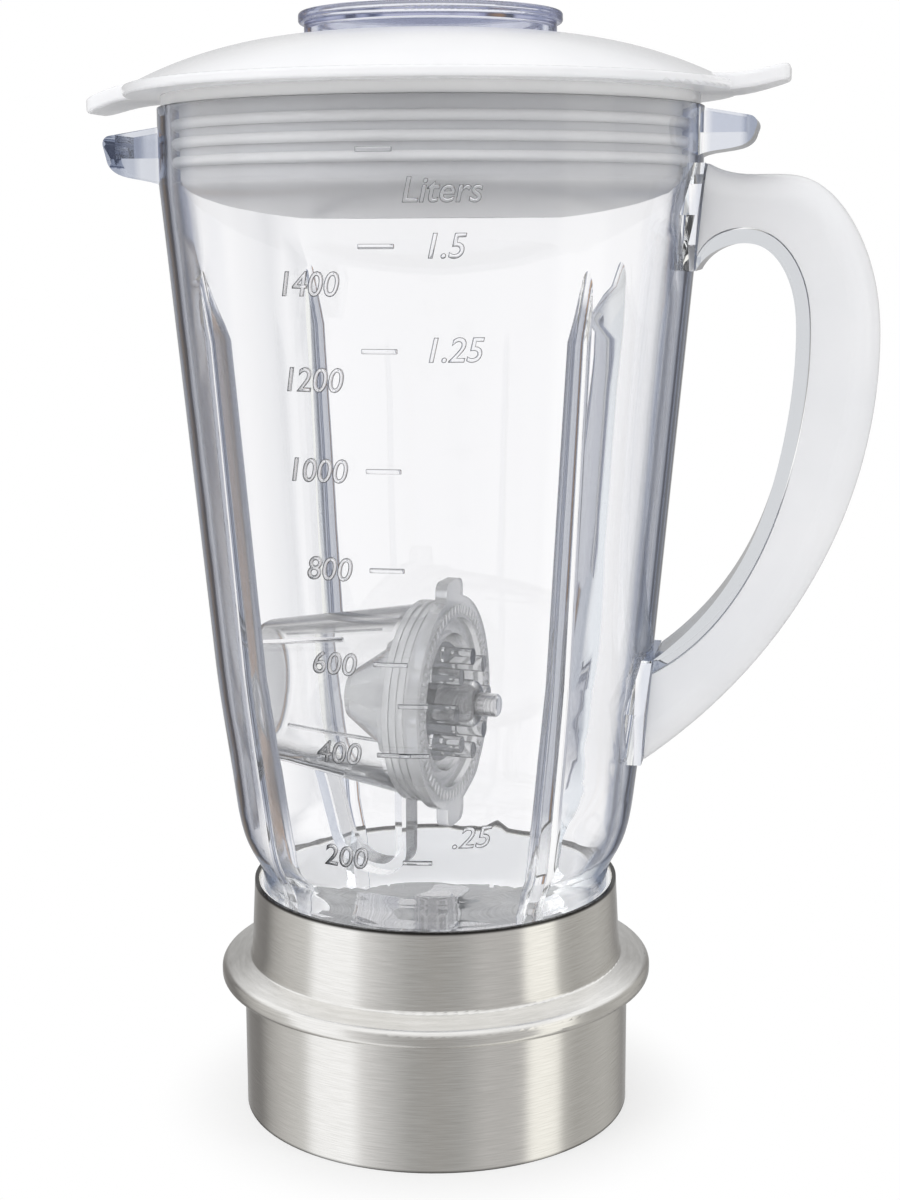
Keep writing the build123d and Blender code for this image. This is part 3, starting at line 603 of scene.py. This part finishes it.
def rounded_bar(length, width, tall, cuts):
    """A bar along X with rounded edges, in millimetres, standing on Z = 0 from X = 0."""
    bpy.ops.object.select_all(action="DESELECT")
    bpy.ops.mesh.primitive_cube_add(size=1)
    bpy.ops.object.mode_set(mode="EDIT")
    bpy.ops.transform.resize(value=(length, width, tall))
    bpy.ops.transform.translate(value=(length / 2, 0, tall / 2))
    bpy.ops.object.mode_set(mode="OBJECT")
    piece = bpy.context.object
    bpy.ops.object.modifier_add(type="BEVEL")
    piece.modifiers["Bevel"].width = min(width, tall) / 3
    piece.modifiers["Bevel"].segments = 2
    bpy.ops.object.modifier_apply(modifier="Bevel")
    bpy.ops.object.mode_set(mode="EDIT")
    for cut in range(1, cuts):
        bpy.ops.mesh.select_all(action="SELECT")
        bpy.ops.mesh.bisect(plane_co=(length * cut / cuts, 0, 0), plane_no=(1, 0, 0))
    bpy.ops.object.mode_set(mode="OBJECT")
    return piece


def moulded_tick(start, length, height):
    """A short level bar on the wall, from an angle round the jar."""
    piece = rounded_bar(length, TICK_WIDTH_MM, MARK_HEIGHT_MM, TICK_CUTS)
    piece.data.transform(Matrix.Translation((0, 0, MARK_GAP_MM)))
    wrap(piece, start, height * MM)
    return piece


# Heights of the marks in millimetres
MILLILITRES = {
    "1400": 213.1,
    "1200": 192.0,
    "1000": 171.6,
    "800": 149.0,
    "600": 126.6,
    "400": 104.9,
    "200": 78.6,
}
LITRES = {"1.5": 221.3, "1.25": 198.8}
QUARTER_LITRE = (15.5, 84.6)  # degrees round the jar, and height
UNIT_WORD = (5.6, 233.2)
TICKS = (242.0, 221.5, 198.8, 172.1, 149.4, 127.3, 105.4)
LITRE_TICKS = (117.4, 105.4, 78.6)
millilitre_numbers = [moulded_text(w, MILLILITRE_END, h, "RIGHT") for w, h in MILLILITRES.items()]
finish_piece("millilitre_numbers", millilitre_numbers, mark_plastic)
litre_numbers = [moulded_text(w, LITRE_START, h, "LEFT") for w, h in LITRES.items()]
litre_numbers.append(moulded_text(".25", *QUARTER_LITRE, "LEFT"))
litre_numbers.append(moulded_text("Liters", *UNIT_WORD, "LEFT"))
finish_piece("litre_numbers", litre_numbers, mark_plastic)
ticks = [moulded_tick(TICK_START, TICK_LENGTH_MM, height) for height in TICKS]
ticks += [moulded_tick(LITRE_TICK_START, TICK_LENGTH_MM - 1, height) for height in LITRE_TICKS]
finish_piece("tick_marks", ticks, mark_plastic)


# Small cup: ribs along its wall, and a knurl on the flange of its base
CUP_RIB_ANGLES = (40, 140, 220, 320)  # degrees round the cup from its top
CUP_RIB_START_MM = 3.0
CUP_RIB_LENGTH_MM = 27.0
CUP_RIB_WIDTH_MM = 1.2
CUP_RIB_HEIGHT_MM = 0.9
KNURL_COUNT = 64
KNURL_RADIUS_MM = 22.3
KNURL_LENGTH_MM = 2.4
KNURL_WIDTH_MM = 0.8
KNURL_HEIGHT_MM = 0.4
CUP_REACH = 0.06  # rays to the cup start this far away
cup_joint = next(joint for joint in frame["joints"] if joint["name"] == "cup_spin")
cup_axis = Vector(cup_joint["axis"])
cup_across = cup_axis.cross(Vector((0, 0, 1)))
cup_body = frame["nodes"]["cup_body"]
cup_base = frame["nodes"]["cup_base"]
cup_end = cup_body.ray_cast(Vector(cup_joint["pos_m"]) - 2 * CUP_REACH * cup_axis, cup_axis)[1]


def outward_of_cup(angle):
    """Direction away from the small cup's axis, at an angle in degrees from its top."""
    return Vector((0, 0, 1)) * cos(radians(angle)) + cup_across * sin(radians(angle))


def cup_rib(angle):
    """A thin bar that runs along the small cup's wall from near its closed end."""
    piece = rounded_bar(CUP_RIB_LENGTH_MM, CUP_RIB_WIDTH_MM, CUP_RIB_HEIGHT_MM, 2)
    outward = outward_of_cup(angle)
    sideways = cup_axis.cross(outward)
    for vertex in piece.data.vertices:
        along, across, out = vertex.co * MM
        start = cup_end + cup_axis * (CUP_RIB_START_MM * MM + along)
        start += sideways * across + outward * CUP_REACH
        place, normal = cup_body.ray_cast(start, -outward)[1:3]
        vertex.co = place + normal * (out + MARK_GAP_MM * MM)
    return piece


def knurl_bar(angle):
    """A short bar on the face of the cup's base, pointing away from its axis."""
    piece = rounded_bar(KNURL_LENGTH_MM, KNURL_WIDTH_MM, KNURL_HEIGHT_MM, 1)
    outward = outward_of_cup(angle)
    sideways = cup_axis.cross(outward)
    for vertex in piece.data.vertices:
        along, across, out = vertex.co * MM
        start = cup_end + outward * (KNURL_RADIUS_MM * MM + along)
        start += sideways * across + cup_axis * 2 * CUP_REACH
        place = cup_base.ray_cast(start, -cup_axis)[1]
        vertex.co = place + cup_axis * (out + MARK_GAP_MM * MM)
    return piece


cup_ribs = [cup_rib(angle) for angle in CUP_RIB_ANGLES]
finish_piece("cup_ribs", cup_ribs, mark_plastic)
knurl = [knurl_bar(number * 360 / KNURL_COUNT) for number in range(KNURL_COUNT)]
finish_piece("cup_base_knurl", knurl, cup_base_plastic)


# The world is white to the camera. Clear pieces and shiny pieces each see a ring of bright panels and
# grey gaps, given by degrees from straight behind the object, positive to the camera's right.
CLEAR_PANELS = (
    (-180, "#FFFFFF"),
    (-62, "#FFFFFF"),
    (-56, "#C6CCD8"),
    (-48, "#C6CCD8"),
    (-42, "#F2F3F7"),
    (-33, "#F2F3F7"),
    (-31, "#444A5A"),
    (-28, "#525867"),
    (-26, "#BE9469"),
    (-23, "#B08A64"),
    (-20, "#7C7069"),
    (-18.5, "#C9CBDA"),
    (-16.5, "#DFE0EA"),
    (-15, "#FFFFFF"),
    (-8.6, "#FFFFFF"),
    (-8.0, "#DCDDDF"),
    (-7.2, "#DCDDDF"),
    (-6.6, "#FFFFFF"),
    (14, "#FFFFFF"),
    (16, "#AEB6C8"),
    (18, "#606B84"),
    (20, "#606B84"),
    (22, "#C3C9D6"),
    (25, "#C3C9D6"),
    (27, "#465068"),
    (31, "#465068"),
    (33, "#D5DAE4"),
    (42, "#F2F3F7"),
    (48, "#C6CCD8"),
    (56, "#C6CCD8"),
    (62, "#FFFFFF"),
    (180, "#FFFFFF"),
)
SHINY_PANELS = (
    (-180, "#A2A09D"),
    (-165, "#A6A5A3"),
    (-150, "#C2C1C0"),
    (-136, "#DCDBDA"),
    (-129, "#FFFFFF"),
    (-102, "#FFFFFF"),
    (-95, "#CECDCA"),
    (-78, "#C2C0BD"),
    (-62, "#A8A6A3"),
    (-50, "#777573"),
    (-30, "#858381"),
    (0, "#C8C8C8"),
    (30, "#8A8886"),
    (45, "#AAA8A4"),
    (60, "#B6B4B0"),
    (88, "#AAA8A4"),
    (99, "#BAB8B4"),
    (103, "#FFFDF6"),
    (122, "#FFFDF6"),
    (127, "#B8B6B4"),
    (150, "#BCBAB8"),
    (165, "#A6A5A3"),
    (180, "#A2A09D"),
)
CEILING = (0.35, 0.6)  # the panels turn to a white ceiling between these upward parts of the direction
ROOM_LIGHT = 0.68  # light of the room on dull surfaces
FLOOR_SIZE = 12.0
SHADOW_SHARE = 0.42  # how much of the shadow the white floor shows
SHADOW_REACH = (0.047, 0.076)  # where the floor's shadow starts to fade to white, and where it is gone


def panel_ring(tree, direction, panels):
    """Background with the ring of panels round a direction from the object."""
    turned = add_node(
        tree, "ShaderNodeVectorRotate", {"Vector": direction, "Angle": -CAMERA_TURN}, rotation_type="Z_AXIS"
    )
    parts = add_node(tree, "ShaderNodeSeparateXYZ", {"Vector": turned.outputs["Vector"]})
    bearing = add_node(
        tree, "ShaderNodeMath", {0: parts.outputs["X"], 1: parts.outputs["Y"]}, operation="ARCTAN2"
    )
    share = add_node(
        tree, "ShaderNodeMapRange", {"Value": bearing.outputs["Value"], "From Min": -pi, "From Max": pi}
    )
    ramp = add_node(tree, "ShaderNodeValToRGB", {"Fac": share.outputs["Result"]})
    set_stops(ramp, [(degrees / 360 + 0.5, code) for degrees, code in panels])
    height = add_node(
        tree,
        "ShaderNodeMapRange",
        {"Value": parts.outputs["Z"], "From Min": CEILING[0], "From Max": CEILING[1]},
    )
    ceiling = add_node(
        tree,
        "ShaderNodeMixRGB",
        {"Fac": height.outputs["Result"], "Color1": ramp.outputs["Color"], "Color2": (1, 1, 1, 1)},
    )
    return add_node(tree, "ShaderNodeBackground", {"Color": ceiling.outputs["Color"], "Strength": 1.0})


world = bpy.data.worlds.new("studio")
bpy.context.scene.world = world
world.use_nodes = True
tree = world.node_tree
tree.nodes.clear()
place = add_node(tree, "ShaderNodeTexCoord")
path = add_node(tree, "ShaderNodeLightPath")
light = add_node(tree, "ShaderNodeBackground", {"Color": (1, 1, 1, 1), "Strength": ROOM_LIGHT})
white = add_node(tree, "ShaderNodeBackground", {"Color": (1, 1, 1, 1), "Strength": 1.0})
clear_ring = panel_ring(tree, place.outputs["Generated"], CLEAR_PANELS)
shiny_ring = panel_ring(tree, place.outputs["Generated"], SHINY_PANELS)
for ray, view in (
    ("Is Camera Ray", white),
    ("Is Glossy Ray", shiny_ring),
    ("Is Transmission Ray", clear_ring),
):
    choice = add_node(tree, "ShaderNodeMixShader", {"Fac": path.outputs[ray]})
    tree.links.new(light.outputs[0], choice.inputs[1])
    tree.links.new(view.outputs["Background"], choice.inputs[2])
    light = choice
add_node(tree, "ShaderNodeOutputWorld", {"Surface": light.outputs["Shader"]})

# The floor keeps the shadow near the object and fades to white away from it
bpy.ops.object.select_all(action="DESELECT")
bpy.ops.mesh.primitive_plane_add(size=FLOOR_SIZE)
floor = bpy.context.object
floor.name = "studio_floor"
floor_paint, tree, shader = new_material("floor_paint", Base_Color=colour("#F4F4F4"), Roughness=0.9)
path = add_node(tree, "ShaderNodeLightPath")
away = add_node(tree, "ShaderNodeVectorMath", {0: object_place(tree)}, operation="LENGTH")
fade = add_node(
    tree,
    "ShaderNodeMapRange",
    {
        "Value": away.outputs["Value"],
        "From Min": SHADOW_REACH[0],
        "From Max": SHADOW_REACH[1],
        "To Min": 1 - SHADOW_SHARE,
    },
    interpolation_type="SMOOTHSTEP",
)
seen = add_node(
    tree,
    "ShaderNodeMath",
    {0: fade.outputs["Result"], 1: path.outputs["Is Camera Ray"]},
    operation="MULTIPLY",
)
paper = add_node(tree, "ShaderNodeEmission", {"Color": (1, 1, 1, 1), "Strength": 1.0})
whole = add_node(tree, "ShaderNodeMixShader", {"Fac": seen.outputs["Value"]})
tree.links.new(shader.outputs["BSDF"], whole.inputs[1])
tree.links.new(paper.outputs["Emission"], whole.inputs[2])
tree.links.new(whole.outputs["Shader"], tree.nodes["Material Output"].inputs["Surface"])
floor.data.materials.append(floor_paint)
floor.visible_glossy = False
floor.visible_transmission = False


def soft_box(name, turn, distance, height, width, tall, watts):
    """An area lamp that faces the middle of the jar, at degrees round from the camera to its right."""
    lamp = bpy.data.lights.new(name, "AREA")
    lamp.shape = "RECTANGLE"
    lamp.size = width
    lamp.size_y = tall
    lamp.energy = watts
    holder = bpy.data.objects.new(name, lamp)
    bpy.context.collection.objects.link(holder)
    bearing = CAMERA_TURN + radians(turn)
    holder.location = (sin(bearing) * distance, -cos(bearing) * distance, height)
    aim = Vector((0, 0, cad_box[1][2] / 2)) - holder.location
    holder.rotation_euler = aim.to_track_quat("-Z", "Y").to_euler()
    holder.visible_glossy = False
    holder.visible_transmission = False


soft_box("left_key", turn=-52, distance=1.3, height=0.9, width=0.7, tall=1.1, watts=7.5)
soft_box("right_fill", turn=62, distance=1.5, height=0.6, width=0.3, tall=1.2, watts=4.5)
soft_box("top_light", turn=180, distance=0.3, height=1.5, width=1.2, tall=1.2, watts=3.5)

# Camera
eye = bpy.data.cameras.new("photo_camera")
eye.lens = LENS_MM
eye.sensor_width = SENSOR_MM
camera = bpy.data.objects.new("photo_camera", eye)
bpy.context.collection.objects.link(camera)
camera.location = (
    sin(CAMERA_TURN) * CAMERA_DISTANCE + cos(CAMERA_TURN) * CAMERA_ASIDE,
    -cos(CAMERA_TURN) * CAMERA_DISTANCE + sin(CAMERA_TURN) * CAMERA_ASIDE,
    CAMERA_HEIGHT,
)
camera.rotation_euler = (pi / 2 - CAMERA_PITCH, CAMERA_ROLL, CAMERA_TURN)
bpy.context.scene.camera = camera
bpy.context.scene.view_settings.view_transform = "Standard"
# A view through the jar and back out to the light crosses a dozen clear faces
MOST_BOUNCES = 24
cycles = bpy.context.scene.cycles
cycles.max_bounces = MOST_BOUNCES
cycles.glossy_bounces = MOST_BOUNCES
cycles.transmission_bounces = MOST_BOUNCES
cycles.transparent_max_bounces = MOST_BOUNCES
